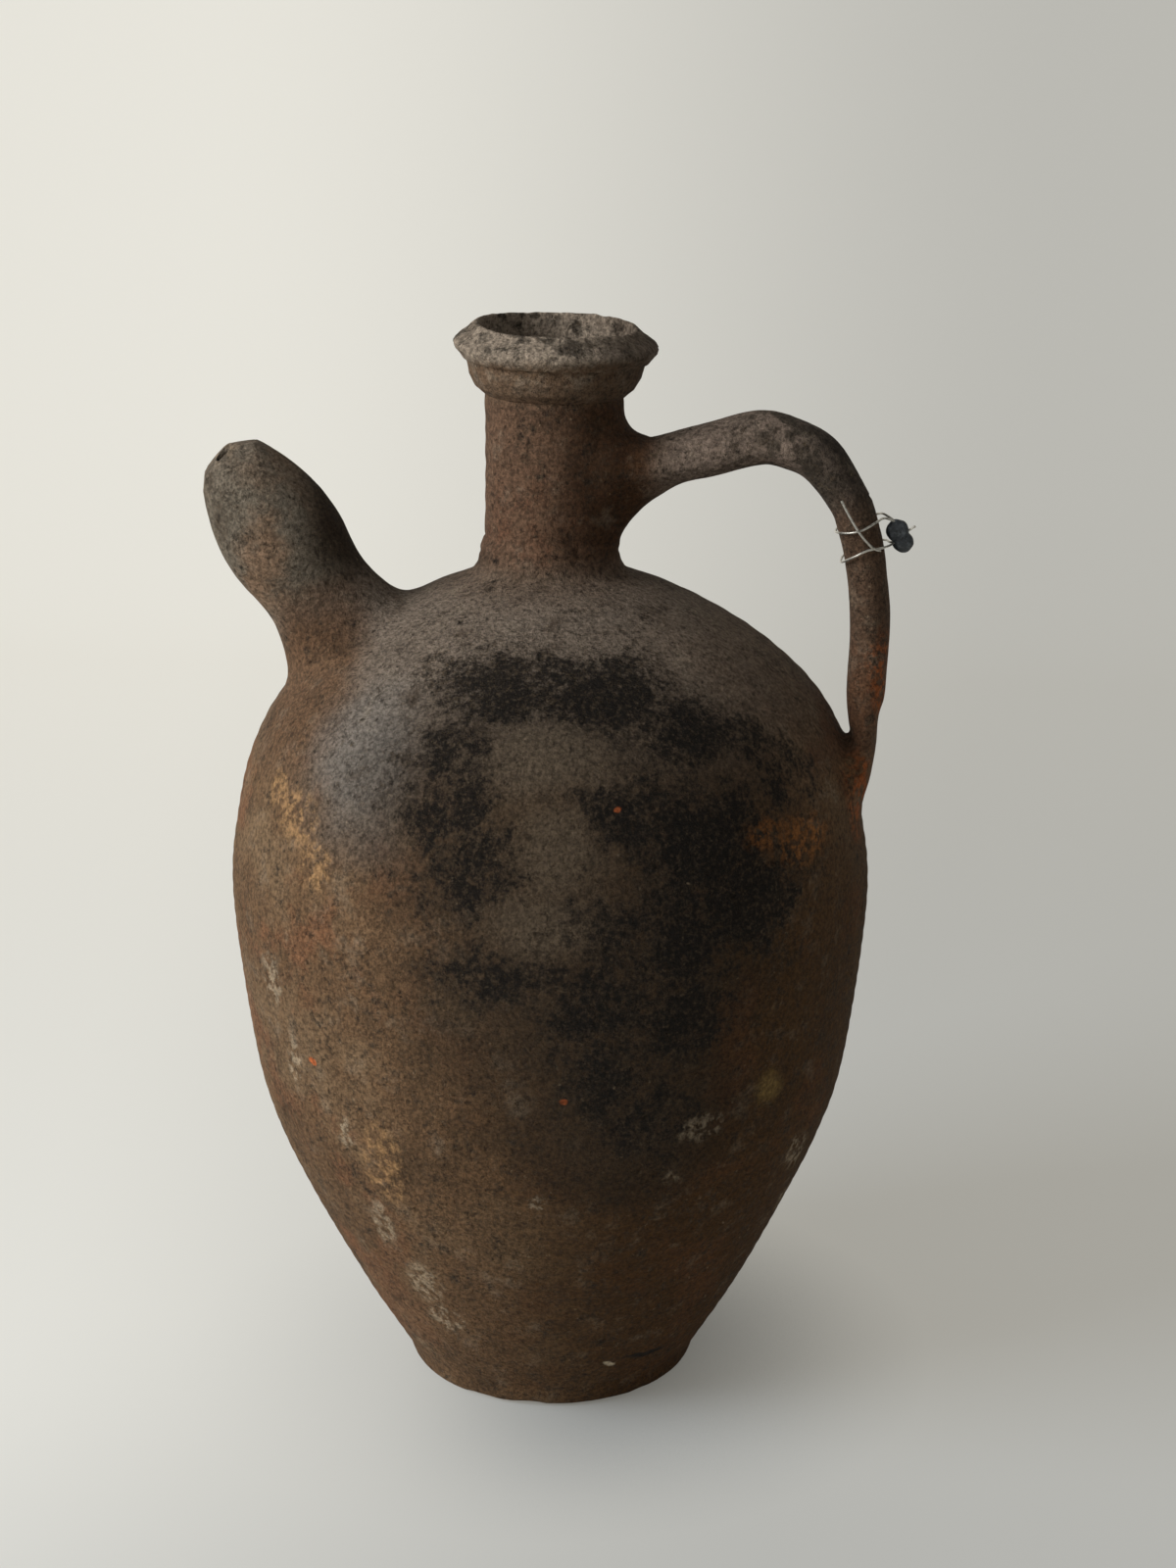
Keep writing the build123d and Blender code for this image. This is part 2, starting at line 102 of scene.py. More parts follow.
# The clay drawn up under the strap against the neck, in the same terms
WEB = ((19.0, 338, 13, 16), (20.5, 347, 16, 17), (24.5, 357.5, 18, 18), (32.5, 366, 16.5, 18),
       (43.5, 371.5, 13.5, 17), (57.0, 375.5, 9, 15))
# The clay smeared round the root of the strap, as centre, radii and tilt
PAD = ((118.5, 0, 249.5), (8.0, 28, 19), 11)

# Flats pared on the tip of the spout: bearing round it, lean from its axis, and distance from its seat
TIP_FLATS = ((25, 16, 82.1), (180, 24, 79.8), (178, 57, 55.0), (118, 48, 63.0), (62, 57, 54.6),
             (12, 50, 61.3), (-50, 54, 57.9), (-110, 46, 65.2))
# Where the knife went: from and to a height up the spout, and within a reach of its axis
PARED_ZONE = (58, 95, 30)
# As far as the spout's tip reaches from the jug's axis
TIP_REACH = -132.1
# A chip knocked off beside the hole in the tip, as centre and radii
TIP_CHIP = ((0.8, 5.6, 86.2), (3.8, 5.2, 4.2))

# Joins that are smeared over: the two forms, how far from both the smear reaches, and its rounds
JOINS = (("body", "spout", 13, 60), ("body", "neck", 5, 12), ("neck", "handle", 9, 30),
         ("neck", "web", 8, 26), ("handle", "web", 4, 5), ("body", "pad", 8, 40), ("handle", "pad", 6, 14),
         ("body", "foot", 2.5, 4))

# Where burnt crust stands out from the body, as centre and reach
CRUST = (((30, -118, 258), (70, 60, 52)), ((-25, -100, 285), (46, 50, 26)), ((72, -95, 225), (42, 60, 55)),
         ((30, -125, 185), (42, 50, 45)))

# The tie: its middle in the strap, how far the strap leans there, and the radius of its wire
TIE_PLACE = (122.037, 0, 349.5)
TIE_TILT = math.atan2(0.248368, 0.968666)
WIRE = 0.45
# The wires' routes: out from the strap's middle, to the side, and up the strap
UPPER_LOOP = ((15.2, -0.7, 1.2), (13.2, -0.9, 2.9), (10.9, -1.4, 4.6), (9.3, -4.6, 5.5), (6.6, -10.2, 5.3),
              (1.6, -13.6, 4.2), (-3.4, -13.1, 4.1), (-8.2, -8.0, 4.6), (-9.5, 0.6, 4.3), (-7.9, 8.6, 4.9),
              (-2.6, 13.3, 5.4), (3.2, 13.3, 5.2), (7.6, 8.9, 5.7), (9.5, 3.4, 6.1), (11.2, 1.2, 5.0),
              (13.4, 0.9, 2.6), (15.0, 0.8, 0.9))
LOWER_LOOP = ((15.6, -0.6, -4.6), (13.4, -0.8, -5.2), (11.0, -1.3, -5.3), (9.3, -4.8, -5.3),
              (6.4, -10.6, -4.6), (1.6, -13.6, -3.9), (-3.9, -13.2, -5.2), (-9.0, -7.9, -6.9),
              (-10.2, 0.4, -7.4), (-8.6, 8.4, -6.6), (-2.6, 13.5, -5.4), (3.6, 13.1, -4.7), (7.8, 8.7, -4.9),
              (9.6, 3.2, -5.2), (11.4, 1.1, -5.0), (13.6, 0.9, -4.4), (15.4, 0.8, -4.2))
TAIL = ((6.2, -11.3, -5.3), (4.6, -12.7, -4.3), (3.0, -14.0, -2.2), (1.0, -14.8, 1.6), (-0.6, -14.9, 5.8),
        (-2.2, -14.7, 11.0), (-3.7, -14.3, 17.0))
SEAL_END = ((15.6, 0.2, -1.4), (17.6, 0.1, -1.9), (19.4, -0.1, -1.2), (20.6, -0.2, -0.9))
# The lobes of the seal, as radii and place out and up, its half thickness, and its pressed mark
SEAL_LOBES = (((4.75, 2.75, 4.75), (13.6, -1.0)), ((4.25, 2.7, 4.25), (14.8, -5.8)),
              ((3.4, 2.5, 3.2), (14.1, -3.6)))
SEAL_HALF = 2.75
SEAL_MARK = (13.6, 0, -1.0)

# Camera, as fitted to the photograph: degrees round towards the handle and down, then how far aside, away
# and up it stands, and its focal length
CAMERA_TURN, CAMERA_DOWN = 8, 15.05
CAMERA_ASIDE, CAMERA_AWAY, CAMERA_UP = 15, 990.9, 512.3
CAMERA_LENS = 58.5

# The paper sweep: half its width, where it bends up behind the jug, the radius of the bend, and its top
SWEEP_HALF, SWEEP_BEND, SWEEP_RADIUS, SWEEP_TOP = 6000, 1300, 500, 3200


# ---------------------------------------------------------------- shapes

def smooth_line(points, steps=10):
    """A smooth line through points, with a number of steps between each two."""
    points = [np.array(point, float) for point in points]
    padded = [2 * points[0] - points[1]] + points + [2 * points[-1] - points[-2]]
    line = []
    for before, start, end, after in zip(padded, padded[1:], padded[2:], padded[3:]):
        for step in range(steps):
            t = step / steps
            slope, bend = end - before, 2 * before - 5 * start + 4 * end - after
            turn = 3 * start - before - 3 * end + after
            line.append(0.5 * (2 * start + slope * t + bend * t ** 2 + turn * t ** 3))
    line.append(points[-1])
    return np.array(line)


def directions(line):
    """The unit direction of a line at each of its points."""
    way = np.gradient(line, axis=0)
    way /= np.linalg.norm(way, axis=1)[:, None]
    return way


def mesh_object(name, verts, faces):
    """An object in the scene from vertices in millimetres."""
    mesh = bpy.data.meshes.new(name)
    mesh.from_pydata(np.asarray(verts, float) * MM, [], faces)
    mesh.validate()
    made = bpy.data.objects.new(name, mesh)
    bpy.context.scene.collection.objects.link(made)
    return made


def grid_faces(rows, columns, close_rows=False):
    """Quads over a grid whose columns close on themselves, and whose rows may."""
    faces = []
    for row in range(rows if close_rows else rows - 1):
        low, high = row * columns, (row + 1) % rows * columns
        for column in range(columns):
            after = (column + 1) % columns
            faces.append((low + column, low + after, high + after, high + column))
    return faces


def bar_faces(rows, columns):
    """Quads round a bar, with a cap at each end."""
    caps = [tuple(range(columns))[::-1], tuple(range((rows - 1) * columns, rows * columns))]
    return grid_faces(rows, columns) + caps


def turned(name, line, columns=256):
    """A closed form turned on Z from radius and height. A line that ends on the axis closes there."""
    angles = np.arange(columns) * 2 * math.pi / columns
    on_axis = line[0][0] == 0
    body = line[1:-1] if on_axis else line[:-1]
    verts = [(r * math.cos(a), r * math.sin(a), z) for r, z in body for a in angles]
    faces = grid_faces(len(body), columns, close_rows=not on_axis)
    if on_axis:
        low, high = len(verts), len(verts) + 1
        verts += [(0, 0, line[0][1]), (0, 0, line[-1][1])]
        last = (len(body) - 1) * columns
        faces += [(low, (c + 1) % columns, c) for c in range(columns)]
        faces += [(high, last + c, last + (c + 1) % columns) for c in range(columns)]
    return mesh_object(name, verts, faces)


def swept(name, sections, columns=72):
    """A closed bar whose oval sections stand across its middle line in the plane of the handle."""
    sections = smooth_line(sections, 8)
    angles = np.arange(columns) * 2 * math.pi / columns
    verts = []
    for (x, z, thickness, width), (dx, dz) in zip(sections, directions(sections[:, :2])):
        for a in angles:
            out = math.copysign(abs(math.sin(a)) ** 0.9, math.sin(a)) * thickness / 2
            verts.append((x - dz * out, math.cos(a) * width / 2, z + dx * out))
    return mesh_object(name, verts, bar_faces(len(sections), columns))


def ellipsoid(name, centre, radii, tilt=0.0):
    """A stretched ball, tilted about Y, for smeared wads of clay."""
    line = [(0, -1)] + [(math.cos(a), math.sin(a)) for a in np.linspace(-1.5, 1.5, 31)] + [(0, 1)]
    made = turned(name, line, 64)
    place = Matrix.Translation(Vector(centre) * MM) @ Matrix.Rotation(math.radians(tilt), 4, "Y")
    made.data.transform(place @ Matrix.Diagonal((*radii, 1)))
    return made


def lean(angle, pivot_height):
    """A turn about Y, at a height on the axis."""
    up = Matrix.Translation((0, 0, pivot_height * MM))
    return up @ Matrix.Rotation(math.radians(angle), 4, "Y") @ up.inverted()


def spout_place():
    """From the spout's own frame, with Z up the spout, to the jug's."""
    seat = Matrix.Translation((SPOUT_SEAT[0] * MM, 0, SPOUT_SEAT[1] * MM))
    turn = Matrix.Rotation(math.radians(SPOUT_LEAN), 4, "Y")
    return Matrix.Rotation(math.radians(SPOUT_BEARING), 4, "Z") @ seat @ turn


def apply_modifier(made, kind, **settings):
    """Adds a modifier with settings and keeps its result as the object's mesh."""
    modifier = made.modifiers.new(kind, kind)
    for key, value in settings.items():
        setattr(modifier, key, value)
    graph = bpy.context.evaluated_depsgraph_get()
    mesh = bpy.data.meshes.new_from_object(made.evaluated_get(graph))
    made.modifiers.clear()
    made.data = mesh
    return made


def discard(*objects):
    """Takes objects out of the file."""
    for made in objects:
        bpy.data.objects.remove(made)


def points_of(mesh):
    """The mesh's vertices in millimetres."""
    points = np.empty(len(mesh.vertices) * 3, np.float32)
    mesh.vertices.foreach_get("co", points)
    return points.reshape(-1, 3).astype(float) / MM


def normals_of(mesh):
    """The way the mesh's vertices face."""
    normals = np.empty(len(mesh.vertices) * 3, np.float32)
    mesh.vertices.foreach_get("normal", normals)
    return normals.reshape(-1, 3).astype(float)


def set_points(mesh, points):
    """Moves the mesh's vertices to places in millimetres."""
    mesh.vertices.foreach_set("co", (points * MM).astype(np.float32).ravel())
    mesh.update()


# ---------------------------------------------------------------- noise

def hashed(cells, seed):
    """A steady random number from 0 to 1 for each whole-number cell."""
    x, y, z = cells[..., 0], cells[..., 1], cells[..., 2]
    mixed = (x * 73856093) ^ (y * 19349663) ^ (z * 83492791) ^ (seed * 2654435)
    mixed = (mixed ^ (mixed >> 13)) * 1274126177
    return ((mixed ^ (mixed >> 16)) & 0xFFFFFF) / 0xFFFFFF


def lumps(points, size, seed=0):
    """Smooth noise from -1 to 1 with lumps of about a size."""
    places = points / size
    low = np.floor(places).astype(np.int64)
    part = places - low
    part = part * part * (3 - 2 * part)
    total = 0
    for x in (0, 1):
        for y in (0, 1):
            for z in (0, 1):
                weight = 1
                for axis, corner in enumerate((x, y, z)):
                    weight = weight * (part[:, axis] if corner else 1 - part[:, axis])
                total = total + weight * hashed(low + (x, y, z), seed)
    return 2 * total - 1


def rough(points, size, seed=0, octaves=3):
    """Lumps with finer and weaker lumps on them."""
    return sum(lumps(points, size / 2 ** n, seed + n) / 2 ** n for n in range(octaves)) / 1.75


def fade(values, start, end):
    """0 at a start, 1 at an end, smooth between them."""
    part = np.clip((values - start) / (end - start), 0, 1)
    return part * part * (3 - 2 * part)


# ---------------------------------------------------------------- the clay skin

def rounded(line, steps=6):
    """A line that starts and ends on the axis, smooth between the two."""
    return [line[0]] + list(smooth_line(line[1:-1], steps)) + [line[-1]]


def make_forms():
    """The solid forms that are luted together, by the names of the jug's pieces."""
    body_line = [(0, BODY_BASE[1]), BODY_BASE] + list(smooth_line(BODY_LINE)) + [(0, SHOULDER_TOP)]
    forms = {
        "foot": turned("foot_form", rounded(FOOT_LINE, 5)),
        "body": turned("body_form", body_line),
        "neck": turned("neck_form", rounded(NECK_LINE)),
        "spout": turned("spout_form", rounded(SPOUT_LINE)),
        "handle": swept("handle_form", STRAP),
        "pad": ellipsoid("pad_form", *PAD),
        "web": swept("web_form", WEB, 48),
    }
    forms["neck"].data.transform(lean(NECK_LEAN, SHOULDER_TOP))
    forms["spout"].data.transform(spout_place())
    return forms


def united(forms):
    """One closed skin round all the forms."""
    verts, faces = [], []
    for form in forms.values():
        start = len(verts)
        verts += [vertex.co / MM for vertex in form.data.vertices]
        faces += [tuple(start + index for index in face.vertices) for face in form.data.polygons]
    skin = mesh_object("skin", verts, faces)
    return apply_modifier(skin, "REMESH", mode="VOXEL", voxel_size=VOXEL * MM, adaptivity=0)


def distances(points, form):
    """How far points are from a form's surface."""
    mesh = form.data
    tree = BVHTree.FromPolygons(points_of(mesh).tolist(), [tuple(f.vertices) for f in mesh.polygons])
    found = (tree.find_nearest(point)[3] for point in points)
    return np.fromiter(found, float, len(points))


def neighbours(mesh):
    """The pairs of vertices that an edge joins."""
    edges = np.empty(len(mesh.edges) * 2, np.int32)
    mesh.edges.foreach_get("vertices", edges)
    return edges.reshape(-1, 2)


def smeared(points, edges, weights, rounds):
    """Points drawn towards the mean of their neighbours, by weights from 0 to 1."""
    ends, others = np.concatenate((edges, edges[:, ::-1])).T
    count = np.bincount(ends, minlength=len(points))
    for _ in range(rounds):
        means = [np.bincount(ends, points[others, axis], len(points)) / count for axis in range(3)]
        points = points + (np.stack(means, axis=1) - points) * weights[:, None]
    return points


def smear_joins(skin, near):
    """Rounds the joins between the forms, as wet clay is smeared over them."""
    points, edges = points_of(skin.data), neighbours(skin.data)
    for first, second, reach, rounds in JOINS:
        weights = fade(near[first] + near[second], reach, 0)
        points = smeared(points, edges, weights * 0.9, rounds)
    set_points(skin.data, smeared(points, edges, np.full(len(points), 0.5), 2))


def soot_crust(points):
    """How much burnt crust, from 0 to 1, lies on the clay: a wide blotch in front and trails below it."""
    spread = rough(points, 26, 61, 4) * 0.42
    blotch = 0
    for centre, radii in CRUST:
        away = np.linalg.norm((points - centre) / radii, axis=1)
        blotch = np.maximum(blotch, fade(away + spread, 1.15, 0.75))
    return blotch


def hand_work(points, near):
    """How far the clay stands out from its even form, in millimetres, from the potter's hands and wear."""
    height, reach = points[:, 2], np.hypot(points[:, 0], points[:, 1])
    # Uneven hands and coarse clay, everywhere
    stand = 0.45 * lumps(points, 60, 3) + 0.25 * lumps(points, 21, 5) - 0.35
    stand += 0.10 * rough(points, 3.4, 11)
    # Throwing ridges and burnt crust on the body, and open pits, everywhere
    on_body = fade(near["body"], 3, 0.5)
    stand += on_body * 0.10 * np.sin((height + 1.5 * lumps(points, 45, 7)) * 2 * math.pi / BODY_RIDGES)
    stand += on_body * soot_crust(points) * 0.26 * rough(points, 3.0, 13)
    stand -= 0.9 * fade(lumps(points, 2.9, 21), 0.78, 0.98)
    # Finger marks drawn up the spout
    local = points @ np.linalg.inv(np.array(spout_place().to_3x3())).T
    drawn = np.stack((local[:, 0], local[:, 1], local[:, 2] / 6), axis=1)
    stand += fade(near["spout"], 3, 0.5) * 0.28 * rough(drawn, 7, 31)
    # Marks of pulling along the strap
    on_strap = fade(np.minimum(near["handle"], near["web"]), 3, 0.5)
    pulled = points * (0.35, 1, 0.35)
    stand += on_strap * (0.32 * rough(pulled, 7, 41) + 0.2 * lumps(points, 12, 43))
    # Ridges and two grooves round the neck
    on_neck = fade(near["neck"], 2, 0.4)
    stand += on_neck * (0.34 * rough(points, 7.5, 51) + 0.12 * np.sin(height * 2 * math.pi / NECK_RIDGES))
    wavy, even = NECK_GROOVES
    grooves = fade(np.abs(height - wavy - 0.9 * lumps(points, 30, 53)), 1.6, 0.2)
    stand -= on_neck * 0.55 * (grooves + fade(np.abs(height - even), 1.4, 0.2))
    # The edge of the foot, worn away in places
    worn = fade(height, 6, 0) * fade(reach, 52, 57)
    stand -= worn * 0.6 * fade(lumps(points, 11, 71), 0.1, 0.8)
    return stand


def pared(points):
    """Points on the tip of the spout drawn back to its flats."""
    place = np.array(spout_place())
    place[:3, 3] /= MM
    local = (points - place[:3, 3]) @ place[:3, :3]
    low, high, reach = PARED_ZONE
    tip = (local[:, 2] > low) & (local[:, 2] < high) & (np.hypot(local[:, 0], local[:, 1]) < reach)
    for bearing, slant, away in TIP_FLATS:
        bearing, slant = math.radians(bearing), math.radians(slant)
        flat = math.sin(slant)
        way = np.array((flat * math.cos(bearing), flat * math.sin(bearing), math.cos(slant)))
        past = np.maximum(local @ way - away, 0) * tip
        local -= past[:, None] * way
    return local @ place[:3, :3].T + place[:3, 3]


def hollow_forms():
    """What is cut out of the clay: the hollow of the body, the bores, and the inside of the spout."""
    line = smooth_line(BODY_LINE)
    way = directions(line)
    inside = line + WALL * np.stack((-way[:, 1], way[:, 0]), axis=1)
    inside = inside[(inside[:, 1] > 16) & (inside[:, 0] > 14)]
    cavity_line = [(0, CAVITY_FLOOR[1]), CAVITY_FLOOR] + list(inside) + [(0, inside[-1][1])]
    cavity = turned("cavity", cavity_line, 192)
    low, high = BORE_ENDS
    bore_line = [(NECK_BORE + 0.25 * math.sin(h * 0.9) + 0.15 * math.sin(h * 2.3), h)
                 for h in np.linspace(low, high, 60)]
    bore = turned("bore", [(0, low)] + bore_line + [(0, high)], 144)
    bore.data.transform(lean(NECK_LEAN, SHOULDER_TOP))
    inner = turned("inner", rounded(SPOUT_HOLLOW), 96)
    passage = turned("passage", [(0, -32), (PASSAGE, -32), (PASSAGE, 20), (0, 20)], 64)
    hole_line = [(0, 66), (SPOUT_HOLE, 66), (SPOUT_HOLE + 0.2, 82), (SPOUT_HOLE + 1.0, 90), (0, 90)]
    hole = turned("hole", hole_line, 64)
    chip = ellipsoid("chip", *TIP_CHIP)
    for form in (inner, passage, hole, chip):
        form.data.transform(spout_place())
    return [cavity, bore, inner, passage, hole, chip]


def make_skin():
    """The whole clay skin, with the forms under it and the hollows cut out of it."""
    forms = make_forms()
    skin = united(forms)
    points = points_of(skin.data)
    near = {name: distances(points, form) for name, form in forms.items()}
    smear_joins(skin, near)
    points = points_of(skin.data)
    points = pared(points + normals_of(skin.data) * hand_work(points, near)[:, None])
    set_points(skin.data, np.maximum(points, (TIP_REACH, -200, 0)))
    hollows = hollow_forms()
    for hollow in hollows:
        apply_modifier(skin, "BOOLEAN", operation="DIFFERENCE", object=hollow, solver="MANIFOLD")
    return skin, forms, hollows


def face_pieces(mesh, forms):
    """The name of the piece that each face belongs to."""
    centres = np.empty(len(mesh.polygons) * 3, np.float32)
    mesh.polygons.foreach_get("center", centres)
    centres = centres.reshape(-1, 3).astype(float) / MM
    names = list(forms)
    nearest = np.argmin([distances(centres, forms[name]) for name in names], axis=0)
    pieces = np.array(names, dtype="<U12")[nearest]
    body = pieces == "body"
    pieces[body & (centres[:, 2] >= BELLY)] = "upper_body"
    pieces[body & (centres[:, 2] < BELLY)] = "lower_body"
    return pieces


def divided(skin, forms):
    """The skin's pieces, which keep the shading of the whole skin across their borders."""
    mesh = skin.data
    mesh.shade_smooth()
    mesh.set_sharp_from_angle(angle=math.radians(48))
    starts, totals = np.empty(len(mesh.polygons), np.int32), np.empty(len(mesh.polygons), np.int32)
    corners, normals = np.empty(len(mesh.loops), np.int32), np.empty(len(mesh.loops) * 3, np.float32)
    mesh.polygons.foreach_get("loop_start", starts)
    mesh.polygons.foreach_get("loop_total", totals)
    mesh.loops.foreach_get("vertex_index", corners)
    mesh.corner_normals.foreach_get("vector", normals)
    points, normals = points_of(mesh), normals.reshape(-1, 3)
    names = face_pieces(mesh, forms)
    pieces = {}
    for name in np.unique(names):
        chosen = np.flatnonzero(names == name)
        loops = np.concatenate([np.arange(starts[f], starts[f] + totals[f]) for f in chosen])
        used, renumbered = np.unique(corners[loops], return_inverse=True)
        ends = np.cumsum(totals[chosen])
        faces = [tuple(face) for face in np.split(renumbered, ends[:-1])]
        piece = bpy.data.objects.new("clay_" + str(name), bpy.data.meshes.new("clay_" + str(name)))
        piece.data.from_pydata(points[used] * MM, [], faces)
        piece.data.shade_smooth()
        piece.data.normals_split_custom_set(normals[loops].tolist())
        bpy.context.scene.collection.objects.link(piece)
        pieces[str(name)] = piece
    return pieces


# ---------------------------------------------------------------- the collar

def make_collar():
    """The flanged collar, set on a little askew, with a warped mouth and a chipped ridge."""
    line = [np.array(p, float) for p in COLLAR_LINE]
    outline = []
    for start, end in zip(line, line[1:]):
        steps = max(1, int(np.linalg.norm(end - start) / (0.7)))
        outline += [start + (end - start) * step / steps for step in range(steps)]
    outline.append(line[-1])
    collar = turned("clay_collar", outline, 360)
    collar.data.shade_smooth()
    points, normals = points_of(collar.data), normals_of(collar.data)
    angle = np.arctan2(points[:, 1], points[:, 0])
    height, reach = points[:, 2].copy(), np.hypot(points[:, 0], points[:, 1])
    # Coarse clay, chips along the ridge of the flange, rough upper face, and a worn lip
    stand = 0.35 * lumps(points, 24, 81) + 0.22 * rough(points, 5.5, 82)
    stand += 0.08 * rough(points, 2.2, 83) - 0.35
    ridge = fade(np.abs(height - 20) + np.abs(reach - 39.5), 5.5, 0.5)
    stand -= ridge * 0.9 * fade(lumps(points, 6.5, 84), 0.15, 0.75)
    stand += fade(height, 14, 16) * 0.3 * rough(points, 3.6, 86)
    lip = fade(height, 25.5, 27.5)
    stand -= lip * 0.45 * fade(lumps(points, 7.5, 85), 0.2, 0.8)
    points += normals * stand[:, None]
    # The mouth is warped up and down, and a little out of round
    share = fade(height, 0, 28)
    points[:, 2] -= share * (0.9 + 0.9 * np.cos(angle + 1.2) + 0.35 * np.cos(3 * angle + 0.5))
    points[:, :2] *= (1 + share * 0.006 * np.cos(2 * angle + 0.9))[:, None]
    set_points(collar.data, points)
    tilt = Matrix.Rotation(math.radians(COLLAR_BEARING), 4, "Z")
    tilt = tilt @ Matrix.Rotation(math.radians(COLLAR_TIP), 4, "Y")
    tilt = tilt @ Matrix.Rotation(math.radians(-COLLAR_BEARING), 4, "Z")
    top = Matrix.Translation((0, 0, NECK_TOP * MM))
    collar.data.transform(lean(NECK_LEAN, SHOULDER_TOP) @ top @ tilt)
    return collar


# ---------------------------------------------------------------- the tie and its seal

def at_tie(out, side, up):
    """A point at the tie, from how far it is out from the strap's middle, to the side and up the strap."""
    cos, sin = math.cos(TIE_TILT), math.sin(TIE_TILT)
    return (TIE_PLACE[0] + out * cos - up * sin, side, TIE_PLACE[2] + out * sin + up * cos)


def wire(name, route, radius=WIRE):
    """A round wire along a route at the tie, with blunt ends."""
    sides = 12
    line = smooth_line([at_tie(*point) for point in route])
    way = directions(line)
    across = np.cross(way[0], (0.3, 0.9, 0.2))
    verts = []
    for place, ahead in zip(line, way):
        across = across - ahead * np.dot(across, ahead)
        across /= np.linalg.norm(across)
        other = np.cross(ahead, across)
        for a in np.arange(sides) * 2 * math.pi / sides:
            verts.append(place + radius * (math.cos(a) * across + math.sin(a) * other))
    made = mesh_object(name, verts, bar_faces(len(line), sides))
    made.data.shade_smooth()
    made.data.set_sharp_from_angle(angle=math.radians(50))
    return made


def make_wires():
    """The two loops, each from the seal round the strap and back, the tail and the cut end."""
    return (wire("upper_loop_wire", UPPER_LOOP), wire("lower_loop_wire", LOWER_LOOP),
            wire("tail_wire", TAIL, WIRE * 1.08), wire("seal_end_wire", SEAL_END, WIRE * 0.95))


def make_seal():
    """Two lobes of pressed lead with uneven edges, a shallow round mark and nips along the rim."""
    verts, faces = [], []
    for radii, (out, up) in SEAL_LOBES:
        lobe = ellipsoid("lobe", (0, 0, 0), radii)
        start = len(verts)
        for point in points_of(lobe.data):
            flattened = np.sign(point[1]) * abs(point[1] / SEAL_HALF) ** 0.72 * SEAL_HALF
            verts.append(at_tie(out + point[0], flattened, up + point[2]))
        faces += [tuple(start + index for index in face.vertices) for face in lobe.data.polygons]
        discard(lobe)
    seal = mesh_object("seal_of_lead", verts, faces)
    apply_modifier(seal, "REMESH", mode="VOXEL", voxel_size=0.26 * MM)
    seal.data.shade_smooth()
    points, normals = points_of(seal.data), normals_of(seal.data)
    away = np.hypot(*(points - np.array(at_tie(*SEAL_MARK)))[:, [0, 2]].T)
    pressed = fade(away, 2.9, 2.3) * 0.35 - fade(np.abs(away - 3.2), 0.7, 0.1) * 0.12
    stand = 0.36 * lumps(points, 3.8, 91) + 0.16 * rough(points, 1.7, 92) - 0.22
    points += normals * stand[:, None]
    points[:, 1] -= np.sign(points[:, 1]) * pressed * (np.abs(normals[:, 1]) > 0.6)
    set_points(seal.data, points)
    return seal


# ---------------------------------------------------------------- materials

# Burnt crust, as centre, reach and strength: a broad dark cloud on the shoulder, and trails below it
SOOT = (((-2, -84, 304), (50, 44, 22), 0.95), ((30, -78, 300), (48, 44, 22), 1.2),
        ((60, -80, 290), (42, 40, 20), 0.85), ((-16, -104, 284), (28, 34, 24), 0.72),
        ((-20, -118, 266), (32, 34, 28), 0.78), ((-8, -122, 246), (38, 34, 32), 0.72),
        ((44, -108, 266), (34, 34, 24), 0.85), ((70, -98, 252), (48, 46, 36), 1.05),
        ((84, -86, 228), (44, 44, 34), 1.0), ((66, -106, 220), (40, 36, 32), 1.0),
        ((36, -120, 226), (38, 30, 22), 0.78), ((2, -126, 208), (52, 34, 24), 0.70),
        ((34, -122, 196), (36, 30, 26), 0.78), ((66, -108, 190), (28, 30, 32), 0.9),
        ((36, -120, 170), (32, 26, 36), 0.72), ((98, -62, 272), (26, 34, 28), 0.62),
        ((88, -70, 284), (26, 30, 20), 0.66), ((52, -112, 150), (30, 24, 26), 0.6))
# Olive-grey clay left bare between the soot, and the wide zone of thin crust round it, as centre and reach
OLIVE = (((14, -108, 284), (34, 30, 20)), ((22, -120, 254), (26, 30, 26)), ((18, -126, 228), (34, 24, 22)))
CRUSTED = (((30, -110, 262), (104, 84, 74)), ((34, -122, 200), (86, 66, 62)), ((46, -112, 150), (60, 56, 50)))

# Patches on the clay, and painted shade in the spout's hole and in a crack at the foot, as centre and reach
OCHRE_FLAKES = (((105, -64, 246), (26, 26, 12)), ((92, -80, 252), (12, 18, 9)))
RUSTY_ROOT = (((124, -16, 250), (13, 16, 24)), ((130, -6, 296), (7, 12, 26)))
TAN_RUBS = (((-82, -90, 254), (17, 24, 15)), ((-72, -98, 238), (12, 22, 14)), ((-92, -78, 262), (9, 18, 10)),
            ((-48, -104, 124), (14, 24, 30)))
LIME_STREAKS = (((-95, -84, 188), (8, 18, 18)), ((-86, -88, 158), (6, 16, 16)),
                ((-64, -101, 133), (7, 16, 10)), ((-52, -92, 92), (7, 18, 22)),
                ((-38, -86, 64), (12, 18, 18)),
                ((-30, -76, 46), (12, 16, 12)), ((104, -46, 112), (7, 16, 16)), ((98, -22, 84), (7, 16, 14)),
                ((12, -112, 115), (7, 14, 5)), ((60, -94, 122), (6, 12, 7)), ((72, -97, 142), (14, 18, 9)))
MOSS_SPOT = ((95, -77, 151), (8, 14, 10))
ORANGE_CHIPS = (((23, -122, 158), (2.2, 6, 1.8)), ((42, -112, 267), (1.8, 6, 1.6)),
                ((-77, -98, 160), (2.6, 6, 2.2)))
PALE_TIP = ((-123.6, -21.8, 380.0), (15, 15, 10))
# Painted shade inside the hole at the spout's tip
PAINTED_HOLE_SHADE = (((-121.3, -21.4, 376.2), (4.7, 4.7, 7.0)), ((-123.6, -24.0, 379.4), (4.3, 3.8, 3.9)))
FOOT_CHIP = ((32, -63, 24), (2.6, 6, 1.8))
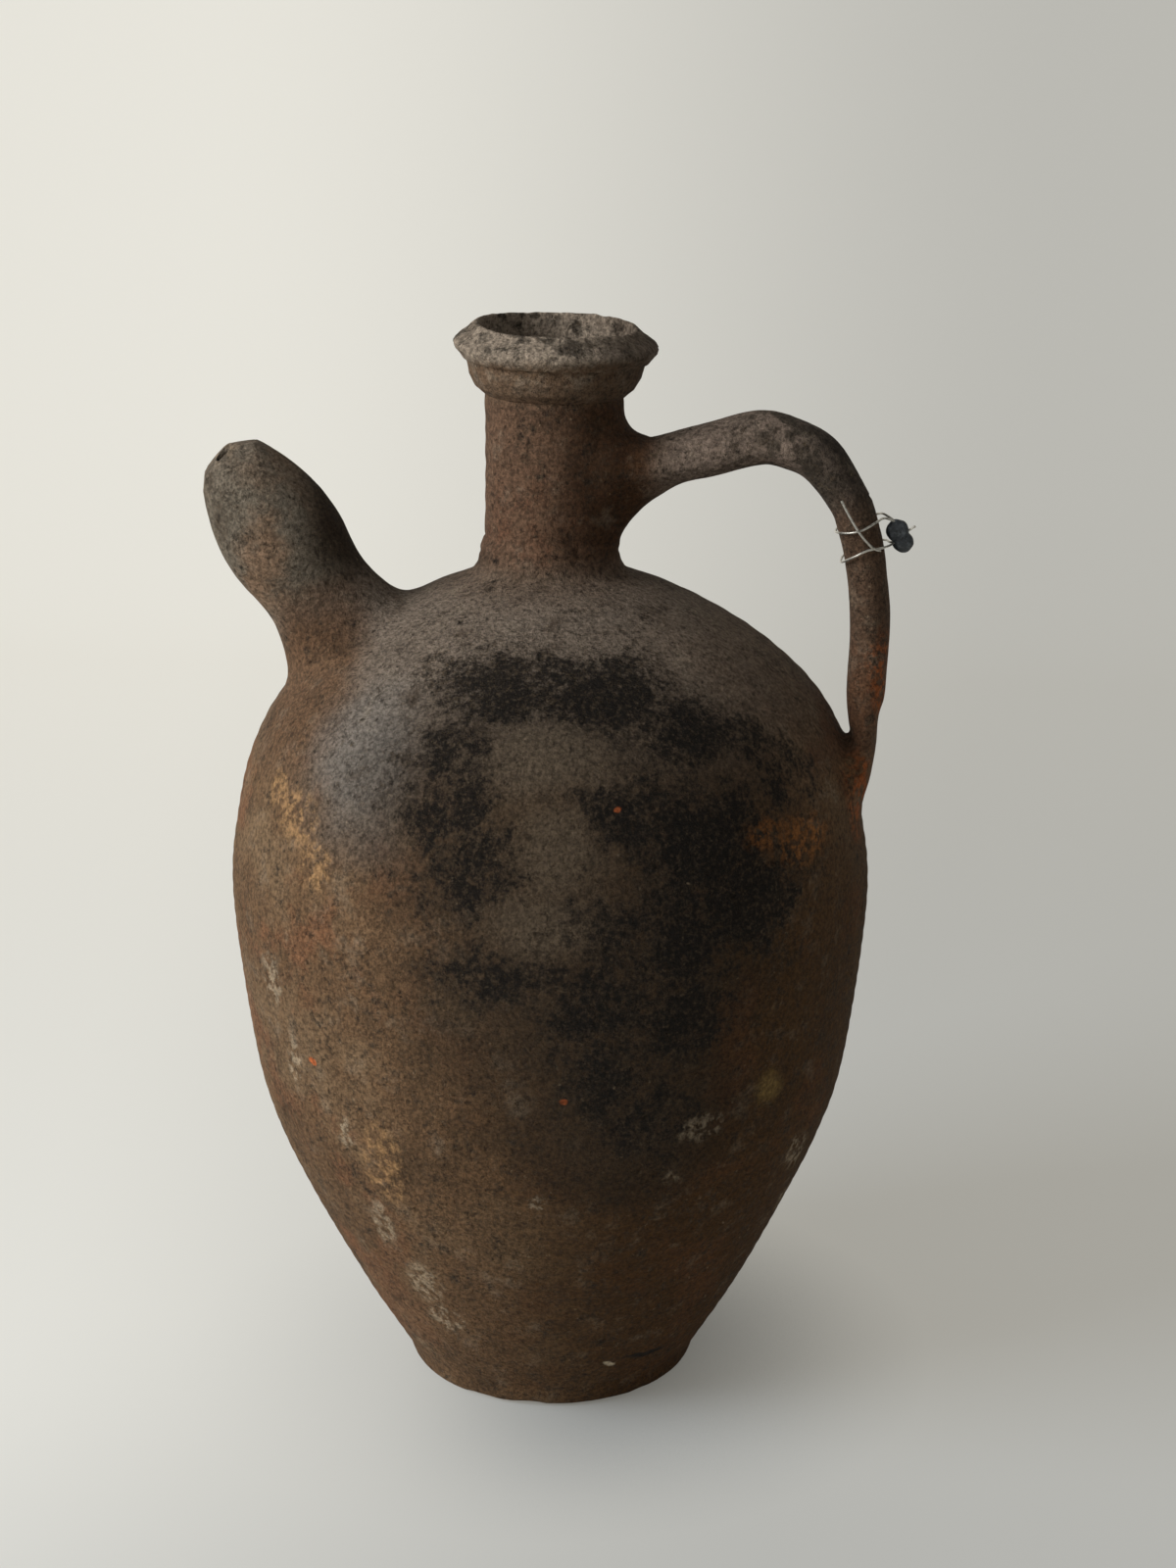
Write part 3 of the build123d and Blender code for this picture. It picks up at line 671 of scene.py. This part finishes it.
# Painted shade of a crack where the body meets the foot
PAINTED_CRACK_SHADE = ((47, -54, 25), (12, 13, 1.7))


def colour(code):
    """A linear colour from a written sRGB one."""
    parts = [int(code[place:place + 2], 16) / 255 for place in (1, 3, 5)]
    return tuple(p / 12.92 if p <= 0.04045 else ((p + 0.055) / 1.055) ** 2.4 for p in parts) + (1.0,)


def node(tree, kind, inputs=None, **settings):
    """Adds a node with its settings, and links or sets its inputs."""
    made = tree.nodes.new("ShaderNode" + kind)
    for key, value in settings.items():
        setattr(made, key, value)
    for key, value in (inputs or {}).items():
        if isinstance(value, bpy.types.NodeSocket):
            tree.links.new(value, made.inputs[key])
        else:
            made.inputs[key].default_value = value
    return made


def material(name):
    """An empty node material with its output, and a painter for it."""
    made = bpy.data.materials.new(name)
    made.use_nodes = True
    made.node_tree.nodes.clear()
    output = node(made.node_tree, "OutputMaterial")
    return made, Painter(made.node_tree), output


def surface(painter, output, **inputs):
    """Gives a material its surface, in the painter's paint."""
    inputs = {"Base Color": painter.paint} | {key.replace("_", " "): value for key, value in inputs.items()}
    shader = node(painter.tree, "BsdfPrincipled", inputs)
    painter.tree.links.new(shader.outputs[0], output.inputs["Surface"])


class Painter:
    """Builds a colour coat by coat, in millimetres of the jug's own space."""

    def __init__(self, tree):
        self.tree = tree
        place = node(tree, "TexCoord").outputs["Object"]
        self.place = node(tree, "VectorMath", {0: place, "Scale": 1 / MM}, operation="SCALE").outputs[0]
        self.paint = None

    def share(self, *amounts):
        """What is left where several amounts meet: their product."""
        left = amounts[-1]
        for amount in amounts[-2::-1]:
            left = node(self.tree, "Math", {0: amount, 1: left}, operation="MULTIPLY").outputs[0]
        return left

    def coat(self, shade, *amounts):
        """Lays a colour on the paint, as thickly as all its amounts let it."""
        if self.paint is None:
            self.paint = colour(shade)
        else:
            inputs = {0: self.share(*amounts), 6: self.paint, 7: colour(shade)}
            self.paint = node(self.tree, "Mix", inputs, data_type="RGBA").outputs[2]

    def grain(self, size, detail=3.0, roughness=0.55, stretch=(1.0, 1.0, 1.0)):
        """Noise about 0.5, in lumps of a size in millimetres."""
        place = self.place
        if stretch != (1.0, 1.0, 1.0):
            place = node(self.tree, "VectorMath", {0: place, 1: stretch}, operation="MULTIPLY").outputs[0]
        inputs = {"Vector": place, "Scale": 1 / size, "Detail": detail, "Roughness": roughness}
        return node(self.tree, "TexNoise", inputs).outputs["Fac"]

    def uneven(self, size, detail, roughness, amount):
        """Grain that swings about 0, by an amount."""
        grain = self.grain(size, detail, roughness)
        swing = node(self.tree, "Math", {0: grain, 1: 0.5}, operation="SUBTRACT").outputs[0]
        return self.share(swing, amount)

    def warped(self, size, amount):
        """The place, moved about by noise."""
        moves = node(self.tree, "TexNoise", {"Vector": self.place, "Scale": 1 / size, "Detail": 3.0})
        inputs = {0: moves.outputs["Color"], 1: (0.5, 0.5, 0.5)}
        shift = node(self.tree, "VectorMath", inputs, operation="SUBTRACT").outputs[0]
        shift = node(self.tree, "VectorMath", {0: shift, "Scale": 2 * amount}, operation="SCALE").outputs[0]
        return node(self.tree, "VectorMath", {0: self.place, 1: shift}, operation="ADD").outputs[0]

    def fading(self, value, start, end, low=0.0, high=1.0):
        """A low value at a start, a high one at an end, smooth between them."""
        inputs = {"Value": value, "From Min": start, "From Max": end, "To Min": low, "To Max": high}
        return node(self.tree, "MapRange", inputs, interpolation_type="SMOOTHSTEP").outputs["Result"]

    def blob(self, place, centre, radii, inner):
        """1 in the inner part of a stretched ball, and 0 outside it."""
        away = node(self.tree, "VectorMath", {0: place, 1: centre}, operation="SUBTRACT").outputs[0]
        away = node(self.tree, "VectorMath", {0: away, 1: radii}, operation="DIVIDE").outputs[0]
        away = node(self.tree, "VectorMath", {0: away}, operation="LENGTH").outputs["Value"]
        return self.fading(away, 1.0, inner)

    def blobs(self, place, balls, inner):
        """The strongest of several balls."""
        field = None
        for centre, radii, *strength in balls:
            ball = self.share(self.blob(place, centre, radii, inner), *strength)
            if field is not None:
                ball = node(self.tree, "Math", {0: field, 1: ball}, operation="MAXIMUM").outputs[0]
            field = ball
        return field

    def relief(self, *layers):
        """The way the surface faces under layers of height, each with its depth in millimetres."""
        facing = {}
        for height, depth in layers:
            inputs = {"Height": height, "Distance": depth * MM, "Strength": 1.0} | facing
            facing = {"Normal": node(self.tree, "Bump", inputs).outputs[0]}
        return facing["Normal"]


def clay_material():
    """Coarse earthenware, thrown, unglazed, and smoked in an uneven fire. To the eye it is dry, matt and
    gritty: brown to grey clay with burnt crust, ochre flakes and pale lime streaks, and hardly a shine."""
    made, p, output = material("coarse_smoked_earthenware")
    near, wide = p.warped(9, 3.0), p.warped(34, 12)
    parts = node(p.tree, "SeparateXYZ", {0: wide}).outputs
    across, up = parts["X"], parts["Z"]
    body_paint(p, wide, across, up)
    neck_paint(p, near, across)
    mottle = p.grain(15, 6, 0.66)
    p.coat("#8b8070", p.fading(mottle, 0.54, 0.74), 0.30)
    p.coat("#2f2317", p.fading(mottle, 0.47, 0.28), 0.60)
    soot_paint(p, wide)
    patches_and_painted_shade(p, near)
    # Sand and grog in such clay are 0.3 to 1 mm, and its pits 1 to 2 mm. They are drawn at 1.3 to 3 mm, the
    # finest that the render shows.
    p.coat("#96866f", p.fading(p.grain(2.9, 3, 0.6), 0.66, 0.76), 0.30)
    p.coat("#1f160e", p.fading(p.grain(3.1, 2, 0.5), 0.35, 0.28), 0.5)
    speckle = p.fading(p.grain(1.7, 5, 0.7), 0.32, 0.68, 0.72, 1.95)
    p.paint = node(p.tree, "HueSaturation", {"Value": speckle, "Color": p.paint}).outputs["Color"]
    surface(p, output, Roughness=0.93, Specular_IOR_Level=0.22, Normal=clay_relief(p, mottle))
    return made


def body_paint(p, wide, across, up):
    """Warm brown below and to the left, darker with painted shade to the right, and grey on the shoulder."""
    cloud, drift = p.grain(62, 4, 0.6), p.grain(38, 5, 0.62)
    p.coat("#614b36")
    p.coat("#6d5943", p.fading(cloud, 0.47, 0.66))
    p.coat("#52402e", p.fading(cloud, 0.50, 0.32))
    p.coat("#6f4d36", p.fading(drift, 0.50, 0.62), p.fading(across, -10, -80, 0.15, 0.75))
    # Darker clay and painted shade towards the right, deepest low down on the right
    p.coat("#3a260e", p.fading(across, -55, 75), p.fading(up, 290, 190, 0.0, 0.86))
    p.coat("#38230a", p.fading(across, -20, 50), p.fading(up, 170, 60, 0.0, 0.7))
    p.coat("#563821", p.fading(drift, 0.52, 0.64), p.fading(across, 20, 90), 0.5)
    p.coat("#6b6157", p.fading(up, 258, 300), p.fading(across, 100, 20, 0.55, 0.95))
    p.coat("#5d4632", p.blob(wide, (-88, -50, 292), (38, 70, 34), 0.5), 0.9)
    p.coat("#6b6762", p.blob(wide, (-52, -88, 272), (34, 60, 44), 0.3), 0.8)
    # The grey spout, with a brown tinge, painted shade on its far side towards the neck, and darker at its
    # root
    p.coat("#625b50", p.blob(wide, (-103, -18, 350), (44, 60, 42), 0.6), 0.95)
    p.coat("#725a46", p.blob(wide, (-108, -18, 346), (34, 60, 46), 0.4), p.fading(drift, 0.42, 0.58), 0.75)
    p.coat("#2b2016", p.blob(wide, (-80, -10, 350), (24, 34, 38), 0.4), 0.9)
    p.coat("#4b3727", p.blob(wide, (-84, -36, 318), (26, 34, 20), 0.4), 0.7)


def neck_paint(p, near, across):
    """The redder neck, the greyer collar and arch, and the brown stem of the handle."""
    flat = node(p.tree, "VectorMath", {0: near, 1: (1, 1, 0)}, operation="MULTIPLY").outputs[0]
    reach = node(p.tree, "VectorMath", {0: flat}, operation="LENGTH").outputs["Value"]
    height = node(p.tree, "SeparateXYZ", {0: near}).outputs["Z"]
    drift = p.grain(11, 5, 0.65)
    p.coat("#574638", p.fading(reach, 78, 40), p.fading(height, 322, 338, 0.0, 0.8))
    neck = p.share(p.fading(reach, 48, 38), p.fading(height, 334, 348))
    p.coat("#5b4637", neck)
    p.coat("#614332", neck, p.fading(drift, 0.42, 0.66), p.fading(height, 385, 352, 0.0, 0.75))
    # Painted shade on the right side of the neck
    p.coat("#36210f", neck, p.fading(across, -8, 26, 0.0, 0.85))
    # The collar: brown below, grey above, pale and sooty on its upper face, painted shade to the right
    p.coat("#5d4b3b", p.fading(reach, 48, 42), p.fading(height, 397, 405))
    p.coat("#77695a", p.fading(height, 404, 411), p.fading(drift, 0.42, 0.60))
    p.coat("#8c8174", p.fading(height, 415, 419, 0.0, 0.85))
    p.coat("#36322c", p.fading(height, 418, 421), p.fading(drift, 0.50, 0.60), 0.70)
    # Painted shade on the right of the collar
    p.coat("#2b1c10", p.fading(height, 398, 406), p.fading(across, 8, 40, 0.0, 0.6))
    arch = p.share(p.fading(across, 34, 56), p.fading(height, 346, 366))
    p.coat("#71645a", arch)
    p.coat("#3c362e", arch, p.fading(drift, 0.42, 0.56), p.fading(across, 62, 92, 0.1, 0.9))
    p.coat("#2c2620", arch, p.fading(across, 88, 108, 0.0, 0.75))
    stem = p.share(p.fading(across, 104, 114), p.fading(height, 262, 276), p.fading(height, 372, 352))
    p.coat("#4d3c2f", stem)
    p.coat("#5c4230", stem, p.fading(height, 320, 290))
    p.coat("#6a5a4b", stem, p.fading(drift, 0.50, 0.64), 0.6)


def soot_paint(p, wide):
    """Burnt crust, in dark grains that thin out towards its edges."""
    torn = p.warped(19, 9)
    p.coat("#423629", p.blobs(wide, CRUSTED, 0.4), 0.66)
    olive = p.blobs(torn, OLIVE, 0.2)
    p.coat("#65594a", olive, 0.65)
    flecks, ragged = p.uneven(2.8, 6, 0.8, 2.9), p.uneven(11, 7, 0.78, 2.6)
    uneven = node(p.tree, "Math", {0: flecks, 1: ragged}, operation="ADD").outputs[0]
    broken = node(p.tree, "Math", {0: p.blobs(torn, SOOT, 0.0), 1: uneven}, operation="ADD").outputs[0]
    broken = node(p.tree, "Math", {0: broken, 1: p.share(olive, 0.3)}, operation="SUBTRACT").outputs[0]
    p.coat("#2c251e", p.fading(broken, 0.05, 0.50), 0.62)
    p.coat("#0f0c0a", p.fading(broken, 0.38, 0.74), 0.9)
    ash = p.share(p.fading(p.grain(1.9, 5, 0.75), 0.48, 0.64), p.fading(broken, 0.0, 0.5))
    p.coat("#5e503f", ash, 0.42)


def patches_and_painted_shade(p, near):
    """Ochre flakes, pale lime streaks, orange chips and rubbed places."""
    torn = p.fading(p.grain(4.2, 5, 0.68), 0.45, 0.58)
    p.coat("#8a5a30", p.blobs(near, OCHRE_FLAKES, 0.3), torn, 0.8)
    p.coat("#94522a", p.blobs(near, RUSTY_ROOT, 0.3), torn, 0.85)
    p.coat("#9d7c56", p.fading(p.blobs(near, TAN_RUBS, 0.0), 0.0, 0.6), torn, 0.62)
    p.coat("#998b76", p.fading(p.blobs(near, LIME_STREAKS, 0.0), 0.0, 0.6), torn, 0.7)
    p.coat("#79643b", p.blob(near, *MOSS_SPOT, 0.2), 0.7)
    p.coat("#a3562f", p.blobs(near, ORANGE_CHIPS, 0.6), 0.9)
    p.coat("#8d7d6a", p.blob(near, *PALE_TIP, 0.4), torn, 0.75)
    # Painted shade inside the spout's hole
    p.coat("#050403", p.blobs(p.place, PAINTED_HOLE_SHADE, 0.85))
    p.coat("#b0a48f", p.blob(near, *FOOT_CHIP, 0.5), 0.9)
    # Painted shade of a crack at the foot
    p.coat("#120c07", p.blob(near, *PAINTED_CRACK_SHADE, 0.6))


def clay_relief(p, mottle):
    """Sand and lumps in the clay, a coarser crust where it is burnt, finger drag and open pits."""
    sand = p.grain(1.3, 4, 0.65)
    burnt = p.share(p.blobs(p.place, CRUSTED, 0.6), 1.2)
    thick = node(p.tree, "Math", {0: burnt, 1: 0.8}, operation="ADD").outputs[0]
    crust = p.share(p.grain(2.6, 5, 0.72), thick)
    pits = p.fading(p.grain(3.1, 2, 0.5), 0.30, 0.37)
    dragged = p.grain(2.6, 4, 0.6, stretch=(1.0, 1.0, 0.16))
    lumpy = p.grain(6.5, 5, 0.62)
    return p.relief((mottle, 2.2), (lumpy, 1.9), (crust, 1.5), (sand, 0.5), (dragged, 0.25), (pits, 0.4))


def lead_material():
    """Lead, pressed cold between two jaws. To the eye it is dull blue-black oxide, with a soft grey gleam
    where it is rubbed. Its rubs are 1 to 2 mm, as real ones are, and its fine grain is drawn coarser, at
    0.5 mm."""
    made, p, output = material("pressed_lead")
    p.coat("#2d3237")
    p.coat("#4d545a", p.fading(p.grain(1.7, 4, 0.6), 0.42, 0.7))
    p.coat("#1c1f22", p.fading(p.grain(0.9, 3, 0.6), 0.45, 0.3))
    gleam = p.fading(p.grain(1.2), 0.3, 0.7, 0.38, 0.62)
    surface(p, output, Metallic=0.35, Roughness=gleam, Normal=p.relief((p.grain(0.5, 4, 0.6), 0.08)))
    return made


def wire_material():
    """Thin drawn iron wire, galvanised. To the eye it is pale dulled zinc with greyer spots and small bright
    edges. Its spots are 1.4 mm, as real ones are, and its drawing marks are coarser than real, at 0.4 mm."""
    made, p, output = material("galvanised_wire")
    p.coat("#b3b2ac")
    p.coat("#77746c", p.fading(p.grain(1.4, 4, 0.6), 0.5, 0.66))
    surface(p, output, Metallic=0.75, Roughness=0.38, Normal=p.relief((p.grain(0.4, 3, 0.6), 0.03)))
    return made


def paper_material():
    """Matt uncoated paper, with no gloss at all. What the camera and reflections see of it is lifted to its
    pale tone, with painted light stronger on the lit side, and a painted shadow where the jug blocks light."""
    made, p, output = material("pale_paper")
    parts = node(p.tree, "SeparateXYZ", {0: p.place}).outputs
    rays = node(p.tree, "LightPath").outputs
    seen = 0.0
    for kind in ("Is Transmission Ray", "Is Glossy Ray", "Is Camera Ray"):
        seen = node(p.tree, "Math", {0: rays[kind], 1: seen}, operation="MAXIMUM").outputs[0]
    # Painted light: the lift is stronger on the lit left, a little stronger far behind, and weaker in front
    depth = node(p.tree, "Math", {0: parts["Y"]}, operation="ABSOLUTE").outputs[0]
    depth = node(p.tree, "Math", {0: depth, 1: 1050.0}, operation="ADD").outputs[0]
    aside = node(p.tree, "Math", {0: parts["X"], 1: depth}, operation="DIVIDE").outputs[0]
    pale_tone_and_painted_light = p.share(p.fading(aside, 0.10, -0.24, 0.345, 0.595), p.fading(parts["Y"], 100, 1500, 1.0, 1.15),
                   p.fading(parts["Y"], -60, -420, 1.0, 0.83))
    # A painted shadow: the lift is dimmed where the jug shuts out the sky, more on the right
    sky = node(p.tree, "AmbientOcclusion", {"Distance": 0.09}, samples=6).outputs["AO"]
    painted_shadow = p.share(p.fading(sky, 1.0, 0.3), p.fading(parts["X"], -70, 40, 0.12, 0.62))
    outside_painted_shadow = node(p.tree, "Math", {0: 1.0, 1: painted_shadow}, operation="SUBTRACT").outputs[0]
    p.coat("#d2d0ca")
    # The camera sees bluish grey paper under the warm lift, so that the shadow on it takes a painted warm
    # tint
    p.coat("#788088", rays["Is Camera Ray"])
    surface(p, output, Roughness=1.0, Specular_IOR_Level=0.0, Emission_Color=(1.0, 0.955, 0.84, 1),
            Emission_Strength=p.share(seen, pale_tone_and_painted_light, outside_painted_shadow))
    return made


# ---------------------------------------------------------------- camera, floor and light

def make_camera():
    """The view of the photograph: a little round towards the handle, and down on the mouth."""
    turn = math.radians(CAMERA_TURN)
    aside, away, up = CAMERA_ASIDE * MM, CAMERA_AWAY * MM, CAMERA_UP * MM
    data = bpy.data.cameras.new("camera")
    data.lens = CAMERA_LENS
    data.clip_end = 20
    camera = bpy.data.objects.new("camera", data)
    camera.location = (aside * math.cos(turn) + away * math.sin(turn),
                       aside * math.sin(turn) - away * math.cos(turn), up)
    camera.rotation_euler = (math.radians(90 - CAMERA_DOWN), 0, turn)
    bpy.context.scene.collection.objects.link(camera)
    bpy.context.scene.camera = camera


def area_light(name, place, target, size, power, tint):
    """A square lamp that faces a target, in metres and watts."""
    data = bpy.data.lights.new(name, "AREA")
    data.size, data.energy, data.color = size, power, tint
    lamp = bpy.data.objects.new(name, data)
    lamp.location = place
    lamp.rotation_euler = (Vector(target) - Vector(place)).to_track_quat("-Z", "Y").to_euler()
    bpy.context.scene.collection.objects.link(lamp)


def make_lights():
    """A large soft window light on the left, a weak fill on the right and an even dim room."""
    area_light("key", (-1.35, -0.85, 1.05), (0, 0, 0.22), 1.0, 36, (1.0, 0.98, 0.95))
    area_light("fill", (1.3, -1.6, 0.9), (0, 0, 0.2), 1.6, 3, (1.0, 0.97, 0.93))
    world = bpy.data.worlds.new("room")
    world.use_nodes = True
    tree = world.node_tree
    background = tree.nodes["Background"]
    background.inputs["Color"].default_value = (1.0, 0.955, 0.88, 1)
    # The camera sees a brighter room than the one that lights the jug
    seen = {"Value": node(tree, "LightPath").outputs["Is Camera Ray"], "To Min": 0.20, "To Max": 0.55}
    tree.links.new(node(tree, "MapRange", seen).outputs["Result"], background.inputs["Strength"])
    bpy.context.scene.world = world
    bpy.context.scene.view_settings.view_transform = "Standard"


def make_sweep():
    """A paper sweep that curves up far behind the jug."""
    bend = [(SWEEP_BEND + SWEEP_RADIUS * math.sin(a), SWEEP_RADIUS - SWEEP_RADIUS * math.cos(a))
            for a in np.linspace(0.05, 1.55, 24)]
    line = [(-SWEEP_HALF, 0), (SWEEP_BEND, 0)] + bend + [(SWEEP_BEND + SWEEP_RADIUS + 5, SWEEP_TOP)]
    verts = [(x, y, z) for y, z in line for x in (-SWEEP_HALF, SWEEP_HALF)]
    faces = [(2 * n, 2 * n + 1, 2 * n + 3, 2 * n + 2) for n in range(len(line) - 1)]
    sweep = mesh_object("paper_sweep", verts, faces)
    sweep.data.shade_smooth()
    sweep.data.materials.append(paper_material())


def finish(piece, look, slot, *replaced):
    """Gives a piece its material and hides the jug's pieces that it stands for. Its slot is not used."""
    piece.data.materials.clear()
    piece.data.materials.append(look)
    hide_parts(*replaced)


def main():
    """Makes the clay, the tie with its seal, and the set round them."""
    skin, forms, hollows = make_skin()
    pieces = divided(skin, forms)
    pieces["collar"] = make_collar()
    discard(skin, *forms.values(), *hollows)
    clay = clay_material()
    for name, piece in pieces.items():
        finish(piece, clay, "clay", {"pad": "handle_pad", "web": "handle_web"}.get(name, name))
        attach(piece, "jug")
    upper, lower, tail, end = make_wires()
    seal = make_seal()
    galvanised, lead = wire_material(), lead_material()
    finish(upper, galvanised, "wire", "tie_wire", "seal_wire_upper")
    finish(lower, galvanised, "wire", "seal_wire_lower")
    finish(tail, galvanised, "wire", "tie_wire")
    finish(end, galvanised, "wire", "seal_wire_end")
    finish(seal, lead, "lead", "lead_seal")
    # The loops' transforms are baked into their meshes
    for loop in (upper, lower):
        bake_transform(loop)
    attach(tail, "tie")
    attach(end, "seal")
    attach(seal, "seal")
    make_camera()
    make_lights()
    make_sweep()


main()
